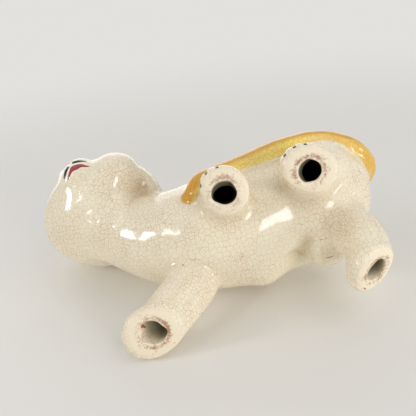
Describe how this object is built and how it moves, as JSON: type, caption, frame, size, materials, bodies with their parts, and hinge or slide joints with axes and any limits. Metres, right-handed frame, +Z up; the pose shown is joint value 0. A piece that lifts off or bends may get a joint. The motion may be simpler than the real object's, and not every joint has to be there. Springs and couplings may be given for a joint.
{
  "type": "cat figurine",
  "caption": "Hollow slip-cast earthenware cat in a walking pose, head turned to its left, crackle glazed, with a tail laid along the flank and pour holes in the soles.",
  "frame": {"origin": "middle of the bounding box at the level of the soles", "axes": "+Z up, the cat walks towards -X, its left flank and its face are towards -Y"},
  "size_m": [0.1736, 0.0884, 0.1129],
  "materials": {
    "cream_glaze": "gloss crackle",
    "yellow_glaze": "gloss crackle"
  },
  "bodies": {
    "root": {"torso": "cream_glaze", "head": "cream_glaze", "left_ear": "cream_glaze", "right_ear": "cream_glaze", "left_front_leg": "cream_glaze", "right_front_leg": "cream_glaze", "left_hind_leg": "cream_glaze", "right_hind_leg": "cream_glaze", "tail": "yellow_glaze"}
  },
  "joints": []
}
